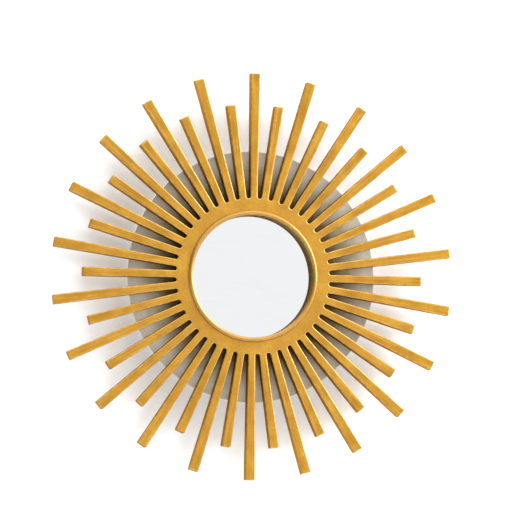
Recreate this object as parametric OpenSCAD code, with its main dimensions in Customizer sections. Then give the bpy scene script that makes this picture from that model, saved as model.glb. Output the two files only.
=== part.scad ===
// Sunburst wall mirror: a routed gold sunburst in front of a round backing disc, with a round glass
// held between them, rubber bumpers against the wall and a hinged D-ring to hang it by.
// The wall is the plane Y = 0, the front faces -Y and +Z is up. The origin is on the wall, behind
// the centre of the glass.

/* [Sunburst] */
// Diameter over the flat ends of the long rays
overall_d = 600; // [540:1:680]
// Distance from the centre to the flat ends of the short rays
short_ray_r = 254; // [210:1:265]
// Pairs of one long and one short ray
ray_pairs = 22; // [20:1:24]
// Width of a long ray at its end
ray_tip_w = 14.4; // [13:0.1:18]
// Radius at the centres of the slots' round inner ends
slot_root_r = 118; // [117:0.5:124]
// Diameter of the slots' round inner ends
slot_end_d = 6; // [4:0.5:7]
// Radius of the rounded corners at the ends of the rays
tip_corner_r = 1.2; // [0.5:0.1:3]
// Thickness of the sunburst board
frame_t = 15; // [12:0.5:18]

/* [Bezel] */
// Radius of the opening that shows the glass
sight_r = 90; // [80:0.5:92]
// Radial width of the half-round bead
bead_w = 7; // [6:0.5:9]
// Thickness of the skirt that lines the bore
skirt_t = 3; // [2:0.5:4]

/* [Glass] */
// Radius of the glass
glass_r = 98; // [97:0.5:99]
// Thickness of the glass
glass_t = 3; // [2:0.5:4]
// Thickness of the foam pads behind the glass
pad_t = 1.2; // [0.8:0.1:2]
// Diameter of the foam pads
pad_d = 20; // [12:1:30]
// Distance of the foam pads from the centre
pad_r = 70; // [40:1:80]

/* [Backing disc] */
// Radius of the backing disc
disc_r = 185; // [180:1:196]
// Thickness of the backing disc
disc_t = 9; // [9:0.5:12]
// Chamfer along both edges of the disc's rim
disc_chamfer = 0.8; // [0.3:0.1:1.5]

/* [Board screws] */
// Number of screws from the disc into the hub ring
hub_screw_count = 8; // [6:1:12]
// Radius of the circle of the hub screws
hub_screw_r = 107.5; // [106:0.5:109]
// Radius of the circle of the ray screws
ray_screw_r = 173; // [160:1:174]
// Shank diameter of the board screws and the hanger screws
screw_d = 3.5; // [3:0.1:4]
// Length of the board screws
board_screw_l = 20; // [16:0.5:20]

/* [Hanger] */
// Height of the D-ring's hinge above the centre
hinge_z = 148; // [140:1:150]
// Width of the steel strap
strap_w = 14; // [12:1:15]
// Length of the strap from the hinge to its round lower end
strap_l = 40; // [36:1:42]
// Thickness of the strap
strap_t = 1.2; // [1:0.1:1.3]
// Wire diameter of the D-ring
wire_d = 2.6; // [2:0.1:2.8]
// Width of the D-ring between the centres of its wire
ring_w = 22; // [22:1:26]
// Length of the D-ring's straight sides
ring_side = 5; // [4:0.5:7]
// Bend radius at the corners of the D-ring
ring_bend_r = 3; // [2:0.5:3]

/* [Wall bumpers] */
// Thickness of the wall bumpers
bumper_t = 7; // [7:0.5:10]
// Diameter of the wall bumpers
bumper_d = 14; // [10:1:18]
// Distance of the bumpers from the centre
bumper_r = 160; // [150:1:166]

/* [Hidden] */
$fn = 96;

gold = [0.83, 0.62, 0.27];
cream = [0.86, 0.82, 0.76];
steel = [0.72, 0.73, 0.74];

// Heights above the wall, from the back of the mirror to its front.
disc_back = bumper_t;
disc_front = disc_back + disc_t;
pad_back = disc_front - glass_t - pad_t;
frame_back = disc_front;
frame_front = frame_back + frame_t;

// The sunburst's outline. The side of a ray is the line from its tip's corner that touches the
// slot's round end, and taper is that line's angle to the ray's axis.
ray_count = 2 * ray_pairs;
pitch = 360 / ray_count;
long_ray_r = overall_d / 2;
slot_r = slot_end_d / 2;
slot_dx = long_ray_r - slot_root_r * cos(pitch / 2);
slot_dy = slot_root_r * sin(pitch / 2) - ray_tip_w / 2;
taper = asin(slot_r / norm([slot_dx, slot_dy])) - atan2(slot_dy, slot_dx);
slot_steps = 10;
corner_steps = 3;

// Clearances of the fits.
skirt_gap = 0.15;
glass_gap = 1;
thread_gap = 0.05;
pilot_gap = 0.5;
hinge_gap = 0.08;
bezel_lift = 0.2;
bore_r = sight_r + skirt_t + skirt_gap;
cut = 1;

// Screws.
head_r = 3.3;
head_sink = 0.3;
head_cone_l = 1.9;
tip_l = 2;
pilot_d = screw_d + 2 * thread_gap;
recess_w = 0.9;
recess_l = 3.6;
recess_depth = 1.3;
pan_r = 3.1;
pan_t = 1.7;
hanger_screw_l = 8;
pilot_depth = head_sink + board_screw_l - disc_t + pilot_gap;
hanger_pilot_depth = hanger_screw_l - strap_t + pilot_gap;
strap_hole_r = screw_d / 2 + 0.2;

// The D-ring's hinge.
eye_r = wire_d / 2 + hinge_gap;
eye_outer_r = eye_r + strap_t;
hinge_h = disc_back - eye_outer_r;
bar_half = ring_w / 2 - ring_bend_r;
strap_end = hinge_z - strap_l + strap_w / 2;
strap_screws = [hinge_z - 10.5, strap_end];

// Angles are clockwise from straight up, as seen from the front.
function along(angle, distance) = [distance * sin(angle), distance * cos(angle)];
function across(angle, distance) = [distance * cos(angle), -distance * sin(angle)];
function ray_end(i) = i % 2 == 0 ? long_ray_r : short_ray_r;
function half_width(distance) = ray_tip_w / 2 - (long_ray_r - distance) * tan(taper);

// One round corner of a ray's end; side is -1 for the left one and 1 for the right one.
function tip_corner(i, side) = [
    for (k = [0:corner_steps])
        let (turn = 90 * (side < 0 ? k : corner_steps - k) / corner_steps)
            along(i * pitch, ray_end(i) - tip_corner_r * (1 - sin(turn)))
            + across(i * pitch, side * (half_width(ray_end(i)) - tip_corner_r * (1 - cos(turn))))
];

// The round inner end of the slot that follows ray i.
function slot_end(i) = [
    for (k = [0:slot_steps])
        let (mid = (i + 0.5) * pitch, lean = pitch / 2 - taper)
        let (turn = 90 + lean + (180 - 2 * lean) * k / slot_steps)
            along(mid, slot_root_r) + along(mid - turn, slot_r)
];

outline = [
    for (i = [0:ray_count - 1])
        each concat(tip_corner(i, -1), tip_corner(i, 1), slot_end(i))
];

// Stands a sketch up against the wall: its X stays, its Y becomes up and its Z points to the front.
module on_wall() {
    rotate([90, 0, 0]) children();
}

module around(count, distance, first = 0) {
    for (i = [0:count - 1])
        translate(along(first + i * 360 / count, distance)) children();
}

module at_hub_screws() {
    around(hub_screw_count, hub_screw_r, 180 / hub_screw_count) children();
}

module at_ray_screws() {
    around(ray_pairs / 2, ray_screw_r, 2 * pitch) children();
}

module at_strap_screws() {
    for (y = strap_screws)
        translate([0, y]) children();
}

module cross_recess() {
    translate([-recess_l / 2, -recess_w / 2]) cube([recess_l, recess_w, recess_depth]);
    translate([-recess_w / 2, -recess_l / 2]) cube([recess_w, recess_l, recess_depth]);
}

// A countersunk screw driven from the back; z = 0 is the face of its head.
module board_screw() {
    difference() {
        union() {
            cylinder(r1 = head_r, r2 = screw_d / 2, h = head_cone_l);
            cylinder(d = screw_d, h = board_screw_l - tip_l);
            translate([0, 0, board_screw_l - tip_l]) cylinder(d1 = screw_d, d2 = 0.6, h = tip_l);
        }
        cross_recess();
    }
}

// The hole that the screw passes through, opened out for its head.
module board_screw_hole() {
    translate([0, 0, disc_back - cut]) cylinder(d = pilot_d, h = disc_t + 2 * cut);
    translate([0, 0, disc_back + head_sink])
        cylinder(r1 = head_r + thread_gap, r2 = pilot_d / 2, h = head_cone_l);
    translate([0, 0, disc_back - cut]) cylinder(r = head_r + thread_gap, h = cut + head_sink);
}

module pilot_hole(start, depth) {
    translate([0, 0, start - cut]) cylinder(d = pilot_d, h = depth + cut);
}

module sunburst_frame() {
    color(gold) on_wall() difference() {
        translate([0, 0, frame_back]) linear_extrude(frame_t) polygon(outline);
        translate([0, 0, frame_back - cut]) cylinder(r = bore_r, h = frame_t + 2 * cut);
        at_hub_screws() pilot_hole(frame_back, pilot_depth);
        at_ray_screws() pilot_hole(frame_back, pilot_depth);
    }
}

module mirror_bezel() {
    color(gold) on_wall() rotate_extrude() {
        translate([sight_r, frame_back + bezel_lift]) square([skirt_t, frame_t - bezel_lift]);
        intersection() {
            translate([sight_r + bead_w / 2, frame_front]) circle(d = bead_w);
            translate([sight_r - cut, frame_front]) square([bead_w + 2 * cut, bead_w]);
        }
    }
}

module mirror_glass() {
    arris = 0.4;
    color([0.85, 0.9, 0.92]) on_wall() translate([0, 0, frame_back - glass_t]) rotate_extrude()
        polygon([
            [0, 0], [glass_r - arris, 0], [glass_r, arris],
            [glass_r, glass_t - arris], [glass_r - arris, glass_t], [0, glass_t]
        ]);
}

module glass_pad(i) {
    color([0.25, 0.25, 0.26]) on_wall() translate(along(90 * i - 45, pad_r))
        translate([0, 0, pad_back]) cylinder(d = pad_d, h = pad_t);
}

module backing_disc() {
    pocket_r = glass_r + glass_gap;
    color(cream) on_wall() difference() {
        rotate_extrude() polygon([
            [0, disc_back], [disc_r - disc_chamfer, disc_back], [disc_r, disc_back + disc_chamfer],
            [disc_r, disc_front - disc_chamfer], [disc_r - disc_chamfer, disc_front],
            [pocket_r, disc_front], [pocket_r, pad_back], [0, pad_back]
        ]);
        at_hub_screws() board_screw_hole();
        at_ray_screws() board_screw_hole();
        at_strap_screws() pilot_hole(disc_back, hanger_pilot_depth);
    }
}

module hub_screws() {
    color(steel) on_wall() at_hub_screws() translate([0, 0, disc_back + head_sink]) board_screw();
}

module ray_screws() {
    color(steel) on_wall() at_ray_screws() translate([0, 0, disc_back + head_sink]) board_screw();
}

module hanger_strap() {
    color(steel) on_wall() difference() {
        union() {
            translate([-strap_w / 2, strap_end, disc_back - strap_t])
                cube([strap_w, hinge_z - strap_end, strap_t]);
            translate([0, strap_end, disc_back - strap_t]) cylinder(d = strap_w, h = strap_t);
            translate([-strap_w / 2, hinge_z, hinge_h]) rotate([0, 90, 0])
                cylinder(r = eye_outer_r, h = strap_w);
        }
        translate([-strap_w / 2 - cut, hinge_z, hinge_h]) rotate([0, 90, 0])
            cylinder(r = eye_r, h = strap_w + 2 * cut);
        at_strap_screws() translate([0, 0, disc_back - strap_t - cut])
            cylinder(r = strap_hole_r, h = strap_t + 2 * cut);
    }
}

// Half of the D-ring, from the middle of its bar to the start of its arc.
module ring_half() {
    rotate([0, 90, 0]) cylinder(d = wire_d, h = bar_half);
    translate([bar_half, ring_bend_r]) rotate(-90) rotate_extrude(angle = 90)
        translate([ring_bend_r, 0]) circle(d = wire_d);
    translate([ring_w / 2, ring_bend_r]) rotate([-90, 0, 0]) cylinder(d = wire_d, h = ring_side);
}

module hanger_ring() {
    color(steel) on_wall() translate([0, hinge_z, hinge_h]) {
        ring_half();
        mirror([1, 0, 0]) ring_half();
        translate([0, ring_bend_r + ring_side]) rotate_extrude(angle = 180)
            translate([ring_w / 2, 0]) circle(d = wire_d);
    }
}

// A pan-head screw driven from the back; z = 0 is the underside of its head.
module hanger_screw() {
    difference() {
        union() {
            translate([0, 0, -pan_t]) cylinder(r1 = pan_r - pan_t / 2, r2 = pan_r, h = pan_t);
            cylinder(d = screw_d, h = hanger_screw_l - tip_l);
            translate([0, 0, hanger_screw_l - tip_l]) cylinder(d1 = screw_d, d2 = 0.6, h = tip_l);
        }
        translate([0, 0, -pan_t]) cross_recess();
    }
}

module hanger_screws() {
    color(steel) on_wall() at_strap_screws()
        translate([0, 0, disc_back - strap_t]) hanger_screw();
}

module wall_bumper(i) {
    soft_edge = 1;
    color([0.3, 0.3, 0.31]) on_wall() translate(along(90 * i - 45, bumper_r)) rotate_extrude()
        polygon([
            [0, 0], [bumper_d / 2 - soft_edge, 0], [bumper_d / 2, soft_edge],
            [bumper_d / 2, bumper_t], [0, bumper_t]
        ]);
}

sunburst_frame();
mirror_bezel();
mirror_glass();
for (i = [1:4])
    glass_pad(i);
backing_disc();
hub_screws();
ray_screws();
hanger_strap();
hanger_ring();
hanger_screws();
for (i = [1:4])
    wall_bumper(i);
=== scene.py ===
"""Sunburst wall mirror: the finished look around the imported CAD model."""
import math

import bpy
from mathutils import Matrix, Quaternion, Vector


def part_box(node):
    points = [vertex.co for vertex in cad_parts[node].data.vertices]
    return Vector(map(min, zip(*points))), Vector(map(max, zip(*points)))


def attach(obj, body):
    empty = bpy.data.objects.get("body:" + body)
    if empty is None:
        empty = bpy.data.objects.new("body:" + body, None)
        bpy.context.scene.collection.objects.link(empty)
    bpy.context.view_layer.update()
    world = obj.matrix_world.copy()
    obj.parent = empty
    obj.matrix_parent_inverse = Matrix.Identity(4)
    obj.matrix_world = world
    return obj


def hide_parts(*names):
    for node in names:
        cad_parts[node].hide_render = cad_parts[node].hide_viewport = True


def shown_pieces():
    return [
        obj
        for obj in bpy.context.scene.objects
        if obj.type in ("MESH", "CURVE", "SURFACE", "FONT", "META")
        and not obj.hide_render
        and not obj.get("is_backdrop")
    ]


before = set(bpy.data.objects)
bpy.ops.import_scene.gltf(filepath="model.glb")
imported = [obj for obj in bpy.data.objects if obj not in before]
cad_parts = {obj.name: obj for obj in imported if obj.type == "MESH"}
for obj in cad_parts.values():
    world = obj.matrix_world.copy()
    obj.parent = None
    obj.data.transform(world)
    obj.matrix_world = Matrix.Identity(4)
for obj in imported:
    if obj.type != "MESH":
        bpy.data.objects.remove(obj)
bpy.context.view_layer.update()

MM = 0.001

# The sunburst's pattern, as the CAD model has it.
RAY_COUNT = 44
SLOT_ROOT_R = 118 * MM
SLOT_R = 3 * MM
RAY_TIP_W = 14.4 * MM
SHORT_RAY_R = 254 * MM
TIP_CORNER_R = 1.2 * MM
BORE_R = 93.15 * MM
SIGHT_R = 90 * MM
BEAD_R = 3.5 * MM

# Finish of the edges, and how finely each curve is cut.
FRONT_ROUND_R = 1.8 * MM
BACK_ROUND_R = 0.5 * MM
SHARPEST_CORNER_R = 0.02 * MM
FRONT_ROUND_STEPS = 6
BACK_ROUND_STEPS = 3
SLOT_STEPS = 16
CORNER_STEPS = 5
BEAD_STEPS = 18
RING_SEGMENTS = 352
BORE_STEPS = RING_SEGMENTS // RAY_COUNT
BEZEL_CLEARANCE = 0.15 * MM

# How fast the sides' paint takes over: a power of the normal's tilt on the board, and on the bezel
# a fade from the skirt over the first 1 / SKIRT_FADE of the bead.
SIDE_PAINT_POWER = 6
SKIRT_FADE = 8

PITCH = 2 * math.pi / RAY_COUNT
FRAME_LOW, FRAME_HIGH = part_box("sunburst_frame")
LONG_RAY_R = FRAME_HIGH.z
FRONT_Y, BACK_Y = FRAME_LOW.y, FRAME_HIGH.y


# ---------------------------------------------------------------- shapes

def taper_angle():
    """Angle between a ray's side and its axis, for a side that touches the slot's round end."""
    dx = LONG_RAY_R - SLOT_ROOT_R * math.cos(PITCH / 2)
    dy = SLOT_ROOT_R * math.sin(PITCH / 2) - RAY_TIP_W / 2
    return math.asin(SLOT_R / math.hypot(dx, dy)) - math.atan2(dy, dx)


TAPER = taper_angle()


def along(angle, distance):
    """A point at that angle, clockwise from straight up, in the (x, z) plane."""
    return Vector((math.sin(angle), math.cos(angle))) * distance


def across(angle, distance):
    """A step sideways, clockwise, from a line at that angle."""
    return Vector((math.cos(angle), -math.sin(angle))) * distance


def ray_end(i):
    """Where ray i ends: long and short rays take turns, and ray 0 is a long one."""
    return LONG_RAY_R if i % 2 == 0 else SHORT_RAY_R


def half_width(distance):
    """Half of a ray's width at that distance from the axis."""
    return RAY_TIP_W / 2 - (LONG_RAY_R - distance) * math.tan(TAPER)


def tip_corner(i, side, inset):
    """The rounded corner of a ray's end as (point, outward normal) pairs."""
    angle, end = i * PITCH, ray_end(i)
    centre_back = max(TIP_CORNER_R, inset)
    radius = max(TIP_CORNER_R - inset, SHARPEST_CORNER_R)
    sideways = side * (half_width(end) - centre_back)
    centre = along(angle, end - centre_back) + across(angle, sideways)
    rows = []
    for k in range(CORNER_STEPS + 1):
        share = k / CORNER_STEPS if side < 0 else 1 - k / CORNER_STEPS
        turn = share * math.pi / 2
        normal = along(angle, math.sin(turn)) + across(angle, side * math.cos(turn))
        rows.append((centre + normal * radius, normal))
    return rows


def slot_end(i, inset):
    """The round inner end of the slot that follows ray i, from ray i's side to the next ray's."""
    mid, lean = (i + 0.5) * PITCH, PITCH / 2 - TAPER
    rows = []
    for k in range(SLOT_STEPS + 1):
        turn = math.pi / 2 + lean + (math.pi - 2 * lean) * k / SLOT_STEPS
        away = along(mid - turn, 1)
        rows.append((along(mid, SLOT_ROOT_R) + away * (SLOT_R + inset), -away))
    return rows


def edge_rows():
    """(inset, y, tilt of the normal) from the front face's rim to the back face's rim.
    The tilt is 0 where the surface faces the front, 90 degrees at the sides, 180 at the back."""
    rows = []
    for k in range(FRONT_ROUND_STEPS + 1):
        tilt = k * math.pi / 2 / FRONT_ROUND_STEPS
        inset = FRONT_ROUND_R * (1 - math.sin(tilt))
        rows.append((inset, FRONT_Y + FRONT_ROUND_R * (1 - math.cos(tilt)), tilt))
    for k in range(BACK_ROUND_STEPS + 1):
        tilt = math.pi / 2 * (1 + k / BACK_ROUND_STEPS)
        inset = BACK_ROUND_R * (1 - math.sin(tilt))
        rows.append((inset, BACK_Y - BACK_ROUND_R * (1 + math.cos(tilt)), tilt))
    return rows


def finish_mesh(name, points, faces, normals=None):
    """A mesh object from points and faces, smooth, with these normals at its points."""
    mesh = bpy.data.meshes.new(name)
    mesh.from_pydata(points, [], faces)
    mesh.update()
    mesh.polygons.foreach_set("use_smooth", [True] * len(mesh.polygons))
    if normals is not None:
        mesh.normals_split_custom_set_from_vertices(normals)
    obj = bpy.data.objects.new(name, mesh)
    bpy.context.scene.collection.objects.link(obj)
    return obj


def add_shares(obj, name, values):
    """A value from 0 to 1 at each point, for the material to read."""
    obj.data.attributes.new(name, "FLOAT", "POINT").data.foreach_set("value", values)


def outline(inset):
    """The board's whole edge, set back by the inset, as (point, outward normal) pairs."""
    rows = []
    for i in range(RAY_COUNT):
        rows += tip_corner(i, -1, inset) + tip_corner(i, 1, inset) + slot_end(i, inset)
    return rows


def bore_points(y):
    """The circle of the hub's bore at that y."""
    points = []
    for k in range(RING_SEGMENTS):
        p = along((k / BORE_STEPS - 0.5) * PITCH, BORE_R)
        points.append((p.x, y, p.y))
    return points


def joined(near, far):
    """The faces between two closed loops of point numbers."""
    pairs = list(zip(near, far))
    return [(a, b, d, c) for (a, c), (b, d) in zip(pairs, pairs[1:] + pairs[:1])]


def flat_faces(loop, bore, facing):
    """One face per ray and one per sector of the hub, between the edge's loop and the bore's.
    They face the front where facing is -1."""
    count = len(loop)
    per_ray = count // RAY_COUNT
    corners = 2 * (CORNER_STEPS + 1)
    half = SLOT_STEPS // 2
    faces = []
    for i in range(RAY_COUNT):
        start = i * per_ray
        ray = [loop[(start - 1) % count]] + loop[start:start + corners + 1]
        before = [loop[(start - 1 - half + k) % count] for k in range(half + 1)]
        after = loop[start + corners:start + corners + half + 1]
        arc = [bore[(i * BORE_STEPS + k) % len(bore)] for k in range(BORE_STEPS + 1)]
        hub = before + after + arc[::-1]
        for face in (ray, hub):
            faces.append(face[::-1] if facing < 0 else face)
    return faces


def make_sunburst():
    """The routed board, with rounded front edges, softened back edges and flat faces."""
    points, normals, rounding_wear_glint, side, loops = [], [], [], [], []
    for inset, y, tilt in edge_rows():
        edge = outline(inset)
        loops.append(list(range(len(points), len(points) + len(edge))))
        for p, n in edge:
            points.append((p.x, y, p.y))
            out = n * math.sin(tilt)
            normals.append((out.x, -math.cos(tilt), out.y))
            # The front rounding's share of rubbed wear and painted highlight.
            rounding_wear_glint.append(math.sin(2 * tilt) ** 2 if tilt < math.pi / 2 else 0.0)
            # The sides' share, which takes the darker side colour: painted shade on the sides.
            side.append(math.sin(tilt) ** SIDE_PAINT_POWER)
    faces = []
    for near, far in zip(loops, loops[1:]):
        faces += joined(near, far)
    bores = []
    for loop, y, facing in ((loops[0], FRONT_Y, -1), (loops[-1], BACK_Y, 1)):
        bore = list(range(len(points), len(points) + RING_SEGMENTS))
        points += bore_points(y)
        normals += [(0, facing, 0)] * RING_SEGMENTS
        faces += flat_faces(loop, bore, facing)
        bores.append(bore)
    faces += [(b, a, d, c) for a, b, c, d in joined(*bores)]
    bore_count = len(points) - len(rounding_wear_glint)
    obj = finish_mesh("sunburst", points, faces, normals)
    add_shares(obj, "edge_wear_sheen", rounding_wear_glint + [0] * bore_count)
    add_shares(obj, "side_paint", side + [0] * bore_count)
    return obj


def revolve(name, profile, segments):
    """A closed ring: profile points (radius, y) turned about the Y axis through the origin."""
    points, faces = [], []
    for s in range(segments):
        angle = 2 * math.pi * s / segments
        for radius, y in profile:
            p = along(angle, radius)
            points.append((p.x, y, p.y))
    n = len(profile)
    for s in range(segments):
        here, there = s * n, (s + 1) % segments * n
        for k in range(n):
            j = (k + 1) % n
            faces.append((here + k, there + k, there + j, here + j))
    return finish_mesh(name, points, faces)


def make_bezel():
    """The half-round bead on the skirt that lines the bore."""
    back_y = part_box("mirror_bezel")[1].y
    centre = SIGHT_R + BEAD_R
    skirt_r = BORE_R - BEZEL_CLEARANCE
    bead = []
    for k in range(BEAD_STEPS + 1):
        turn = math.pi * k / BEAD_STEPS
        bead.append((centre - BEAD_R * math.cos(turn), FRONT_Y - BEAD_R * math.sin(turn)))
    profile = [(SIGHT_R, back_y), *bead, (skirt_r, FRONT_Y), (skirt_r, back_y)]
    obj = revolve("bezel", profile, RING_SEGMENTS)
    # The skirt and the bead's inner edge take the dark side colour, which is painted shade in the
    # mirror's recess.
    fade = [max(0.0, 1 - SKIRT_FADE * k / BEAD_STEPS) for k in range(BEAD_STEPS + 1)]
    add_shares(obj, "side_paint", [1.0, *fade, 1.0, 1.0] * RING_SEGMENTS)
    return obj


# ------------------------------------------------------------- materials

class Look:
    """A material whose nodes are added one after another."""

    def __init__(self, name, colour, metallic, roughness, **sockets):
        self.material = bpy.data.materials.new(name)
        self.material.use_nodes = True
        self.tree = self.material.node_tree
        self.shader = self.tree.nodes["Principled BSDF"]
        self.set("Base Color", colour)
        self.set("Metallic", metallic)
        self.set("Roughness", roughness)
        for socket, value in sockets.items():
            self.set(socket.replace("_", " "), value)
        self.place = self.add("ShaderNodeTexCoord").outputs["Object"]

    def set(self, socket, value):
        if isinstance(value, tuple):
            value = (*value, 1)
        self.shader.inputs[socket].default_value = value

    def add(self, kind, inputs=None, **settings):
        node = self.tree.nodes.new(kind)
        for name, value in settings.items():
            setattr(node, name, value)
        for name, value in (inputs or {}).items():
            if isinstance(value, bpy.types.NodeSocket):
                self.tree.links.new(value, node.inputs[name])
            else:
                node.inputs[name].default_value = value
        return node

    def link(self, output, socket):
        self.tree.links.new(output, self.shader.inputs[socket])

    def noise(self, scale, detail, place=None):
        inputs = {"Vector": place or self.place, "Scale": scale, "Detail": detail}
        return self.add("ShaderNodeTexNoise", inputs).outputs["Fac"]

    def stretched(self, scale, rotation=(0, 0, 0)):
        """The object's own coordinates, turned and scaled."""
        inputs = {"Vector": self.place, "Rotation": rotation, "Scale": scale}
        return self.add("ShaderNodeMapping", inputs).outputs[0]

    def parts(self):
        """The object's own coordinates as X, Y and Z."""
        return self.add("ShaderNodeSeparateXYZ", {"Vector": self.place}).outputs

    def share(self, name):
        """A value that add_shares wrote on the piece."""
        return self.add("ShaderNodeAttribute", attribute_name=name).outputs["Fac"]

    def math(self, operation, a, b=0.0):
        return self.add("ShaderNodeMath", {0: a, 1: b}, operation=operation).outputs[0]

    def spread(self, value, low, high, to_low=0.0, to_high=1.0):
        """The value mapped from one range to another and held inside it."""
        inputs = {"Value": value, "From Min": low, "From Max": high,
                  "To Min": to_low, "To Max": to_high}
        return self.add("ShaderNodeMapRange", inputs).outputs["Result"]

    def mixed(self, first, first_share, second, second_share):
        """A weighted sum of two values."""
        return self.math("ADD", self.math("MULTIPLY", first, first_share),
                         self.math("MULTIPLY", second, second_share))

    def blend(self, factor, a, b, kind="MIX"):
        """Two colours, sockets or tuples, mixed by the factor."""
        node = self.add("ShaderNodeMix", data_type="RGBA", blend_type=kind)
        sockets = {"Factor": node.inputs[0], "A": node.inputs[6], "B": node.inputs[7]}
        for name, value in (("Factor", factor), ("A", a), ("B", b)):
            if isinstance(value, bpy.types.NodeSocket):
                self.tree.links.new(value, sockets[name])
            else:
                sockets[name].default_value = (*value, 1) if isinstance(value, tuple) else value
        return node.outputs[2]

    def radius(self, parts):
        """Distance from the mirror's axis."""
        flat = self.add("ShaderNodeCombineXYZ", {"X": parts["X"], "Y": parts["Z"]}).outputs[0]
        return self.add("ShaderNodeVectorMath", {0: flat}, operation="LENGTH").outputs["Value"]

    def bump(self, height, distance, strength):
        inputs = {"Height": height, "Distance": distance, "Strength": strength}
        self.link(self.add("ShaderNodeBump", inputs).outputs["Normal"], "Normal")


# Noise patterns as (scale, detail). A scale is in repeats per metre, but the streaks' works on
# polar coordinates: STREAK_TURN per radian round the axis, STREAK_REACH per metre away from it.
STREAKS, MOTTLE, CLOUD, GRAIN = (380, 5), (38, 4), (9, 2), (2600, 2)
BLOTCHES, FLECKS, RUBS = (70, 3), (300, 3), (140, 5)
STREAK_TURN, STREAK_REACH = 0.2, 0.03

# The routed sides soak up more paint than the faces, so they are duller. Their colour is painted
# darker too, which is painted shade on the sides.
METAL_SHARE, SIDE_METAL_SHARE = 0.75, 0.5
SIDE_ROUGHER = 0.18
RUB_SMOOTHER = 0.08
GOLD_TINT = (0.8, 0.6, 0.32)
ORANGE = (0.47, 0.195, 0.014)
RUBBED_PALE_SHEEN = (0.80, 0.56, 0.22)
SLOT_SHADE_BROWN = (0.07, 0.035, 0.008)
SIDE_MOTTLE = (0.8, 0.77, 0.7)
# The streaks fade in over this length of the rays, from this even share of their colour.
PALE_ON_HUB = 0.3
STREAKS_FADE_IN = 30 * MM

# base, deep and pale are the paint's body, clouds and streaks, and sides is the sides' colour,
# darker than the faces as painted shade. around is 1 for long streaks along the rays and smaller
# for rounder ones, coat is the lacquer's weight on the faces, and slot_shade is how far painted
# shade turns the sides brown in the slots' inner ends.
GOLD_PAINT = {
    "base": (0.485, 0.252, 0.0225), "deep": (0.37, 0.174, 0.012), "pale": (0.62, 0.36, 0.06),
    "sides": (0.40, 0.205, 0.026), "around": 1.0, "coat": 0.15, "slot_shade": 1.0,
}
# On the bezel the sides' colour is near black-brown: painted shade on the skirt's inside wall
# around the mirror and on the bead's inner edge.
GOLD_BEZEL = {
    "base": (0.44, 0.218, 0.017), "deep": (0.38, 0.178, 0.012), "pale": (0.54, 0.31, 0.06),
    "sides": (0.14, 0.085, 0.017), "around": 0.2, "coat": 0.5, "slot_shade": 0.0,
}


def gold_streaks(look, parts, radius, around):
    """Noise in polar coordinates, drawn out along the rays."""
    angle = look.math("ARCTAN2", parts["X"], parts["Z"])
    place = look.add("ShaderNodeCombineXYZ", {
        "X": look.math("MULTIPLY", angle, STREAK_TURN * around),
        "Y": look.math("MULTIPLY", radius, STREAK_REACH / around),
        "Z": parts["Y"],
    }).outputs[0]
    return look.noise(*STREAKS, place)


def gold_tone(look, radius, mottle, streaks, base, deep, pale):
    """The faces' colour: clouds, flecks and orange blotches everywhere, and streaks on the rays."""
    tone = look.blend(look.spread(mottle, 0.38, 0.68), deep, base)
    on_rays = look.spread(radius, SLOT_ROOT_R, SLOT_ROOT_R + STREAKS_FADE_IN)
    on_hub = (PALE_ON_HUB, PALE_ON_HUB, PALE_ON_HUB)
    pale_share = look.blend(on_rays, on_hub, look.spread(streaks, 0.48, 0.7, 0, 0.75))
    tone = look.blend(pale_share, tone, pale)
    tone = look.blend(look.spread(look.noise(*BLOTCHES), 0.5, 0.7, 0, 0.5), tone, ORANGE)
    tone = look.blend(look.spread(look.noise(*FLECKS), 0.45, 0.65, 0, 0.5), tone, deep)
    return look.blend(look.spread(look.noise(*CLOUD), 0.35, 0.7, 0, 0.4), tone, deep)


def gold_side_tone(look, radius, mottle, sides, slot_shade):
    """The sides' colour, darker brown in the slots towards the hub: painted shade in the slots."""
    uneven = look.blend(look.spread(mottle, 0.35, 0.7), (1, 1, 1), SIDE_MOTTLE)
    tone = look.blend(1.0, sides, uneven, "MULTIPLY")
    # Painted shade in the narrow slots, strongest at their inner ends.
    in_slot = look.spread(radius, SLOT_ROOT_R, 2 * SLOT_ROOT_R, 0.8, 0)
    return look.blend(look.math("MULTIPLY", in_slot, slot_shade), tone, SLOT_SHADE_BROWN)


def gold_look(name, base, deep, pale, sides, around, coat, slot_shade):
    """Satin gold paint with fine sprayed grain, paler rounded edges (rubbed wear and a painted
    highlight), and duller sides painted darker as painted shade.
    """
    look = Look(name, base, METAL_SHARE, 0.4, Coat_Roughness=0.2, Coat_IOR=1.9,
                Specular_Tint=GOLD_TINT)
    parts = look.parts()
    radius = look.radius(parts)
    streaks = gold_streaks(look, parts, radius, around)
    mottle = look.noise(*MOTTLE)
    # Paler rounded edges: partly rubbed wear, partly a painted highlight.
    rub_sheen = look.math("MULTIPLY", look.share("edge_wear_sheen"),
                    look.spread(look.noise(*RUBS), 0.42, 0.62, 0.15, 0.75))
    side = look.share("side_paint")
    tone = look.blend(rub_sheen, gold_tone(look, radius, mottle, streaks, base, deep, pale), RUBBED_PALE_SHEEN)
    side_tone = gold_side_tone(look, radius, mottle, sides, slot_shade)
    look.link(look.blend(side, tone, side_tone), "Base Color")
    look.link(look.spread(side, 0, 1, coat, 0), "Coat Weight")
    look.link(look.spread(side, 0, 1, METAL_SHARE, SIDE_METAL_SHARE), "Metallic")
    rough = look.spread(mottle, 0.3, 0.7, 0.36, 0.5)
    rough = look.math("SUBTRACT", rough, look.math("MULTIPLY", rub_sheen, RUB_SMOOTHER))
    rough = look.math("ADD", rough, look.math("MULTIPLY", side, SIDE_ROUGHER))
    look.link(rough, "Roughness")
    look.bump(look.mixed(look.noise(*GRAIN), 0.35, streaks, 0.5), 0.00012, 0.5)
    return look.material


SILVER, SMEARED_SILVER = (0.93, 0.94, 0.95), (0.9, 0.905, 0.91)


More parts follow.
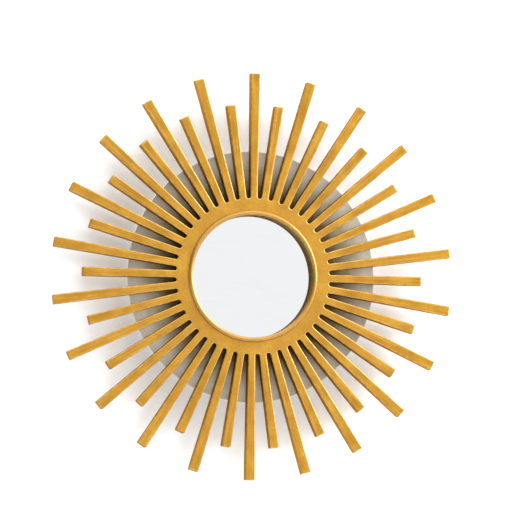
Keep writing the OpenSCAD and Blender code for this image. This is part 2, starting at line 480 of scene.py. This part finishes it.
def mirror_look():
    """Silvering under clean float glass, with a few faint wiped smears."""
    look = Look("mirror_silver", SILVER, 1.0, 0.015, Coat_Weight=0.6, Coat_Roughness=0.01)
    smear_place = look.stretched((3, 1, 14), rotation=(0, 0.6, 0))
    smear = look.spread(look.noise(4, 3, smear_place), 0.56, 0.8)
    look.link(look.spread(smear, 0, 1, 0.012, 0.03), "Roughness")
    look.link(look.blend(smear, SILVER, SMEARED_SILVER), "Base Color")
    return look.material


CREAM, CREAM_SHADE, FIBRE_BROWN = (0.80, 0.765, 0.70), (0.73, 0.69, 0.615), (0.62, 0.56, 0.47)
DISC_LOW, DISC_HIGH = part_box("backing_disc")
# How uneven the painted shade's edge is, and how near the front face a point counts as on it.
SHADE_EDGE = 6 * MM
FRONT_SKIN = 0.5 * MM
# Painted shade on the disc's front, from the slots' inner ends outward: dark brown near the hub,
# lighter outward and a little darker again at the rim. Each stop is the share of the disc's radius,
# and the colour that the cream is multiplied by there.
DISC_SHADE_STOPS = ((0.68, (0.20, 0.12, 0.03)), (0.79, (0.48, 0.41, 0.27)),
             (0.92, (0.73, 0.70, 0.63)), (1.0, (0.64, 0.62, 0.57)))


def disc_painted_shade(look, parts):
    """The painted shade's colour on the disc's front, with an uneven edge between its shades."""
    unevenness = look.spread(look.noise(70, 5), 0.3, 0.7, -SHADE_EDGE, SHADE_EDGE)
    reach = look.math("DIVIDE", look.math("ADD", look.radius(parts), unevenness), DISC_HIGH.z)
    ramp = look.add("ShaderNodeValToRGB", {"Fac": reach})
    shades = ramp.color_ramp.elements
    for stop, (share, shade) in ((shades[0], DISC_SHADE_STOPS[0]), (shades[1], DISC_SHADE_STOPS[-1])):
        stop.position = share
        stop.color = (*shade, 1)
    for share, shade in DISC_SHADE_STOPS[1:-1]:
        shades.new(share).color = (*shade, 1)
    return ramp.outputs["Color"]


def board_look():
    """Matt cream paint, brushed on fibreboard, with the board's fine fibre under it."""
    look = Look("cream_paint", CREAM, 0.0, 0.72)
    mottle = look.noise(30, 5)
    fibre = look.noise(900, 3)
    brush = look.noise(420, 3, look.stretched((1, 1, 0.05)))
    tone = look.blend(look.spread(mottle, 0.35, 0.7), CREAM, CREAM_SHADE)
    tone = look.blend(look.spread(fibre, 0.55, 0.75, 0, 0.4), tone, FIBRE_BROWN)
    parts = look.parts()
    # The front face, where it shows between the rays, gets painted shade: brown near the hub,
    # darker at the rim.
    on_front = look.math("LESS_THAN", parts["Y"], DISC_LOW.y + FRONT_SKIN)
    tone = look.blend(on_front, tone, look.blend(1.0, tone, disc_painted_shade(look, parts), "MULTIPLY"))
    look.link(tone, "Base Color")
    look.link(look.spread(mottle, 0.3, 0.7, 0.62, 0.8), "Roughness")
    look.bump(look.mixed(fibre, 0.4, brush, 0.6), 0.0002, 0.5)
    return look.material


ZINC, BRIGHT_ZINC, SCUFFED_ZINC = (0.62, 0.63, 0.64), (0.62, 0.63, 0.65), (0.36, 0.35, 0.33)


def zinc_look():
    """Bright zinc plate: a faint blue-grey spangle, rolled lines and handling scuffs."""
    look = Look("zinc_plate", ZINC, 1.0, 0.3)
    cells = look.add("ShaderNodeTexVoronoi", {"Vector": look.place, "Scale": 260})
    lines = look.noise(3000, 3, look.stretched((1, 1, 0.04)))
    scuff = look.noise(180, 5)
    tone = look.blend(0.16, BRIGHT_ZINC, cells.outputs["Color"], "SOFT_LIGHT")
    tone = look.blend(look.spread(scuff, 0.55, 0.75, 0, 0.5), tone, SCUFFED_ZINC)
    look.link(tone, "Base Color")
    look.link(look.spread(scuff, 0.3, 0.7, 0.22, 0.46), "Roughness")
    look.bump(look.mixed(lines, 0.5, scuff, 0.5), 0.00005, 0.5)
    return look.material


RUBBER_BLACK, RUBBER_DUST = (0.045, 0.045, 0.048), (0.12, 0.115, 0.11)


def rubber_look():
    """Matt moulded rubber with a fine pitted skin and a little dust."""
    look = Look("matt_rubber", RUBBER_BLACK, 0.0, 0.75)
    pits = look.noise(1800, 3)
    dust = look.noise(110, 5)
    dusty = look.spread(dust, 0.5, 0.8, 0, 0.5)
    look.link(look.blend(dusty, RUBBER_BLACK, RUBBER_DUST), "Base Color")
    look.link(look.spread(dust, 0.3, 0.7, 0.62, 0.88), "Roughness")
    look.bump(pits, 0.0001, 0.6)
    return look.material


FOAM_GREY, FOAM_HOLLOW, FOAM_WALL = (0.06, 0.06, 0.064), (0.03, 0.03, 0.033), (0.09, 0.09, 0.095)


def foam_look():
    """Foam: small bubbles on a dark grey body, their hollows darker with painted shade."""
    look = Look("closed_cell_foam", FOAM_GREY, 0.0, 0.95)
    cells = look.add("ShaderNodeTexVoronoi", {"Vector": look.place, "Scale": 1500})
    depth = cells.outputs["Distance"]
    look.link(look.blend(look.spread(depth, 0.1, 0.6), FOAM_HOLLOW, FOAM_WALL), "Base Color")
    look.bump(depth, 0.0003, 0.8)
    return look.material


# ---------------------------------------------------------------- pieces

gold_paint = gold_look("gold_paint", **GOLD_PAINT)
gold_bezel = gold_look("gold_bezel", **GOLD_BEZEL)
zinc_plate = zinc_look()
matt_rubber = rubber_look()
foam = foam_look()

sunburst = make_sunburst()
sunburst.data.materials.append(gold_paint)
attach(sunburst, "mirror")
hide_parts("sunburst_frame")

bezel = make_bezel()
bezel.data.materials.append(gold_bezel)
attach(bezel, "mirror")
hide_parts("mirror_bezel")

NODE_LOOKS = {
    "mirror_glass": mirror_look(),
    "backing_disc": board_look(),
    "hub_screws": zinc_plate,
    "ray_screws": zinc_plate,
    "hanger_screws": zinc_plate,
    "hanger_strap": zinc_plate,
    "hanger_ring": zinc_plate,
    **{f"glass_pad_{i}": foam for i in range(1, 5)},
    **{f"wall_bumper_{i}": matt_rubber for i in range(1, 5)},
}
for node, look in NODE_LOOKS.items():
    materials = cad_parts[node].data.materials
    materials.clear()
    materials.append(look)


# ------------------------------------------------- camera, light, backdrop

# Angles and distances in metres. The view is as wide as VIEW_WIDTH at the board's front.
CAMERA_AZIMUTH = math.radians(-12)
CAMERA_ELEVATION = math.radians(-4.7)
CAMERA_ROLL = math.radians(0.8)
CAMERA_DISTANCE = 12
VIEW_WIDTH = 0.7523
AIM_RIGHT, AIM_UP = 0.0042, 0.0296
SENSOR_W = 36


def add_camera():
    """The photo's viewpoint, aimed a little right of and above the middle of the board's front."""
    flat = math.cos(CAMERA_ELEVATION)
    back = Vector((math.sin(CAMERA_AZIMUTH) * flat, -math.cos(CAMERA_AZIMUTH) * flat,
                   math.sin(CAMERA_ELEVATION)))
    turn = (-back).to_track_quat("-Z", "Y") @ Quaternion((0, 0, 1), CAMERA_ROLL)
    aim = Vector((0, FRONT_Y, 0)) + turn @ Vector((AIM_RIGHT, AIM_UP, 0))
    data = bpy.data.cameras.new("camera")
    data.sensor_width = SENSOR_W
    data.lens = SENSOR_W * CAMERA_DISTANCE / VIEW_WIDTH
    camera = bpy.data.objects.new("camera", data)
    camera.location = aim + back * CAMERA_DISTANCE
    camera.rotation_euler = turn.to_euler()
    bpy.context.scene.collection.objects.link(camera)
    bpy.context.scene.camera = camera


def add_area_light(name, place, size, power):
    """A white rectangular light that points at the mirror's middle."""
    data = bpy.data.lights.new(name, "AREA")
    data.shape = "RECTANGLE"
    data.size, data.size_y = size
    data.energy = power
    light = bpy.data.objects.new(name, data)
    light.location = place
    light.rotation_euler = (-Vector(place)).to_track_quat("-Z", "Y").to_euler()
    bpy.context.scene.collection.objects.link(light)
    return light


def light_only(light, lit, shading):
    """The light reaches only the lit objects, and only the shading ones block it."""
    for use, objects in (("receiver", lit), ("blocker", shading)):
        group = bpy.data.collections.new(f"{light.name}_{use}s")
        for obj in objects:
            group.objects.link(obj)
        setattr(light.light_linking, use + "_collection", group)


def add_plane(name, corners, colour, one_sided):
    """A flat backdrop. A one-sided one is clear from behind and shows the object's back."""
    obj = finish_mesh(name, corners, [(0, 1, 2, 3)])
    look = Look(name, colour, 0.0, 0.9)
    tone = look.spread(look.noise(60, 4), 0.3, 0.7, 0.985, 1.0)
    grey = look.add("ShaderNodeCombineColor", {"Red": tone, "Green": tone, "Blue": tone})
    look.link(look.blend(1.0, colour, grey.outputs[0], "MULTIPLY"), "Base Color")
    if one_sided:
        clear = look.add("ShaderNodeBsdfTransparent").outputs[0]
        side = look.add("ShaderNodeNewGeometry").outputs["Backfacing"]
        mix = look.add("ShaderNodeMixShader", {0: side, 1: look.shader.outputs[0], 2: clear})
        surface = look.tree.nodes["Material Output"].inputs["Surface"]
        look.tree.links.new(mix.outputs[0], surface)
    obj.data.materials.append(look.material)
    obj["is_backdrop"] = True
    return obj


WALL_GAP = 0.3 * MM
WALL_HALF = 4.0
WALL_WHITE = (0.90, 0.935, 0.96)
FLOOR_Z = -1.5
FLOOR_HALF = 20.0
FLOOR_GREY = (0.6, 0.6, 0.6)


def add_wall():
    """A wall just behind the bumpers' feet."""
    corners = [(-WALL_HALF, WALL_GAP, FLOOR_Z), (WALL_HALF, WALL_GAP, FLOOR_Z),
               (WALL_HALF, WALL_GAP, WALL_HALF), (-WALL_HALF, WALL_GAP, WALL_HALF)]
    return add_plane("wall", corners, WALL_WHITE, True)


def add_floor():
    corners = [(-FLOOR_HALF, -FLOOR_HALF, FLOOR_Z), (FLOOR_HALF, -FLOOR_HALF, FLOOR_Z),
               (FLOOR_HALF, FLOOR_HALF, FLOOR_Z), (-FLOOR_HALF, FLOOR_HALF, FLOOR_Z)]
    return add_plane("floor", corners, FLOOR_GREY, False)


# Each light's place and size in metres, and its power in watts.
KEY_LIGHT = ((2.3, -1.05, 1.1), (1.6, 2.0), 84)
BACK_LIGHT = ((-1.6, 2.6, 1.6), (1.6, 1.6), 55)
WALL_WASH = ((0, -3, 0), (3, 3), 16)

# The room's light: its strength at the dark and bright ends, and what is left of it ahead of the
# mirror and at the dark flag on the front left.
ROOM_DARK, ROOM_BRIGHT = 1.2, 2.5
ROOM_AHEAD, ROOM_FLAG = 0.46, 0.05
TOWARDS_BRIGHT = (0.75, 0, 0.66)
TOWARDS_AHEAD = (0.18, -0.98, 0.08)
TOWARDS_FLAG = (-0.8, -0.6, -0.1)


class Room:
    """A white world whose strength depends on the direction."""

    def __init__(self):
        self.world = bpy.data.worlds.new("room")
        self.world.use_nodes = True
        self.tree = self.world.node_tree
        self.direction = self.tree.nodes.new("ShaderNodeTexCoord").outputs["Generated"]

    def towards(self, x, y, z):
        """1 in that direction, 0 at right angles to it and -1 opposite."""
        node = self.tree.nodes.new("ShaderNodeVectorMath")
        node.operation = "DOT_PRODUCT"
        node.inputs[1].default_value = Vector((x, y, z)).normalized()
        self.tree.links.new(self.direction, node.inputs[0])
        return node.outputs["Value"]

    def ranged(self, value, low, high, to_low, to_high):
        node = self.tree.nodes.new("ShaderNodeMapRange")
        node.interpolation_type = "SMOOTHSTEP"
        limits = {"From Min": low, "From Max": high, "To Min": to_low, "To Max": to_high}
        for name, number in limits.items():
            node.inputs[name].default_value = number
        self.tree.links.new(value, node.inputs["Value"])
        return node.outputs["Result"]

    def times(self, a, b):
        node = self.tree.nodes.new("ShaderNodeMath")
        node.operation = "MULTIPLY"
        self.tree.links.new(a, node.inputs[0])
        self.tree.links.new(b, node.inputs[1])
        return node.outputs[0]


def add_room_light():
    """A room brighter on the upper right, dimmer ahead of the mirror and dark at the front left."""
    room = Room()
    sides = room.ranged(room.towards(*TOWARDS_BRIGHT), -1, 1, ROOM_DARK, ROOM_BRIGHT)
    ahead = room.ranged(room.towards(*TOWARDS_AHEAD), 0.9, 0.97, 1, ROOM_AHEAD)
    flag = room.ranged(room.towards(*TOWARDS_FLAG), 0.6, 0.92, 1, ROOM_FLAG)
    background = room.tree.nodes["Background"]
    background.inputs["Color"].default_value = (1, 1, 1, 1)
    strength = room.times(room.times(sides, ahead), flag)
    room.tree.links.new(strength, background.inputs["Strength"])
    bpy.context.scene.world = room.world


add_camera()
wall = add_wall()
add_floor()
add_area_light("key", *KEY_LIGHT)
back_light = add_area_light("back", *BACK_LIGHT)
# The back light shows the disc's back and its fittings. The gold pieces don't receive it.
not_gold = [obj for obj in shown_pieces() if obj not in (sunburst, bezel)]
light_only(back_light, not_gold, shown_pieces())
wall_wash = add_area_light("wall_wash", *WALL_WASH)
light_only(wall_wash, [wall], [wall])
add_room_light()
bpy.context.scene.view_settings.view_transform = "Standard"
